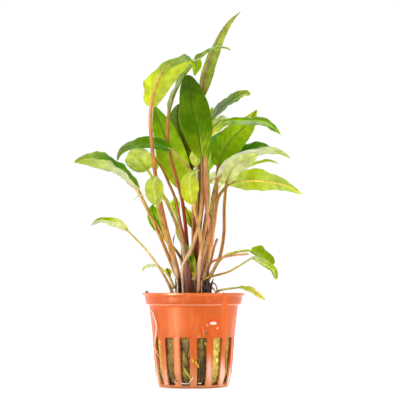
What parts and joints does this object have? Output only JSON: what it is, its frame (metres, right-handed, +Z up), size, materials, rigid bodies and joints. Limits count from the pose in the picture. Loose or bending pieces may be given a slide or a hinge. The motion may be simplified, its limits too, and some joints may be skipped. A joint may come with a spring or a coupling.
{
  "type": "potted cryptocoryne plant",
  "caption": "Young rosette of arching, lance-shaped cryptocoryne leaves on long brown stalks, rooted in rock wool inside a slotted orange nursery pot.",
  "frame": {"origin": "centre of the pot's flat base, on the surface it stands on", "axes": "+Z up through the pot to the leaf tips, +X to the right and +Y away from the viewer of the pictured front"},
  "size_m": [0.1188, 0.0911, 0.2016],
  "materials": {
    "pot": "glossy, slightly translucent injection-moulded polypropylene",
    "rock_wool": "wet felted mineral fibre",
    "crown": "dull dark sheaths and rootstock",
    "root": "pale, satin",
    "cut_stalk": "satin",
    "leaf_green": "glossy living leaf, translucent",
    "leaf_pale": "living leaf with its paler underside to the front, translucent"
  },
  "bodies": {
    "root": {"crown": "crown", "leaf_arching_left": "leaf_green", "leaf_behind_arch": "leaf_green", "leaf_big_right": "leaf_green", "leaf_bright_arch": "leaf_green", "leaf_bright_back": "leaf_green", "leaf_broad_left": "leaf_green", "leaf_bud_left": "leaf_green", "leaf_curled_front": "leaf_pale", "leaf_curled_tip": "leaf_green", "leaf_dark_back": "leaf_green", "leaf_dark_front": "leaf_green", "leaf_dark_left": "leaf_green", "leaf_dark_right": "leaf_green", "leaf_far_left": "leaf_pale", "leaf_green_lower": "leaf_green", "leaf_hidden_left": "leaf_green", "leaf_light_front": "leaf_pale", "leaf_long_right": "leaf_pale", "leaf_low_pale": "leaf_pale", "leaf_low_right": "leaf_green", "leaf_narrow_back": "leaf_green", "leaf_pale_left": "leaf_pale", "leaf_pale_middle": "leaf_pale", "leaf_pale_right": "leaf_pale", "leaf_rim_right": "leaf_green", "leaf_slender_right": "leaf_green", "leaf_small_back": "leaf_green", "leaf_small_pale": "leaf_pale", "leaf_spear_centre": "leaf_pale", "leaf_strip_lower": "leaf_green", "leaf_tall_back": "leaf_green", "leaf_tall_edge": "leaf_green", "leaf_tall_left": "leaf_green", "leaf_tiny_left": "leaf_green", "leaf_top_spear": "leaf_green", "leaf_under_left": "leaf_green", "leaf_yellow_left": "leaf_pale", "leaf_yellow_right": "leaf_pale", "pot": "pot", "rock_wool": "rock_wool", "root_left": "root", "stalk_cut_middle": "cut_stalk", "stalk_cut_right": "cut_stalk"}
  },
  "joints": []
}
